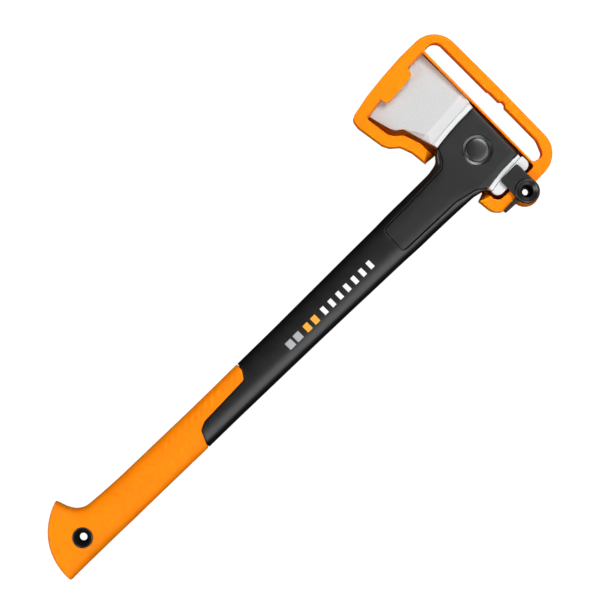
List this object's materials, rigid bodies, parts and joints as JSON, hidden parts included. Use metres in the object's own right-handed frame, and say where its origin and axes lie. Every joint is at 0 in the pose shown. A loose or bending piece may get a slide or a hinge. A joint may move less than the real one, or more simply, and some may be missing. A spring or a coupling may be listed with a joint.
{
  "type": "felling axe",
  "caption": "Felling axe with a composite handle, its head locked in a plastic carry sheath by a turning latch.",
  "frame": {"origin": "on the flat back of the sheath, under the centre of the head's round eye plug", "axes": "+X from the cutting edge to the poll, +Y along the handle from the butt to the head, +Z from the sheath's back to its open face"},
  "size_m": [0.1923, 0.6283, 0.0386],
  "materials": {
    "steel": "fine matt blasted forging",
    "composite": "fine matt moulding texture",
    "shaft": "satin moulded composite",
    "grip": "soft moulding with fine slanting ribs",
    "sheath": "satin moulded plastic",
    "latch": "satin moulded plastic"
  },
  "bodies": {
    "sheathed_axe": {"axe_head": "steel", "head_wrap": "composite", "eye_plug_upper": "composite", "eye_plug_lower": "composite", "handle_shaft": "shaft", "grip_sleeve": "grip", "shaft_stopper": "composite", "hang_bush": "composite", "sheath_frame": "sheath"},
    "latch": {"latch": "latch", "latch_collar": "latch"}
  },
  "joints": [
    {"name": "latch_turn", "type": "hinge", "parent": "sheathed_axe", "child": "latch", "pos_m": [0.062, 0.0056, 0.02], "axis": [0, 0, 1], "range_deg": [0, 90]}
  ]
}
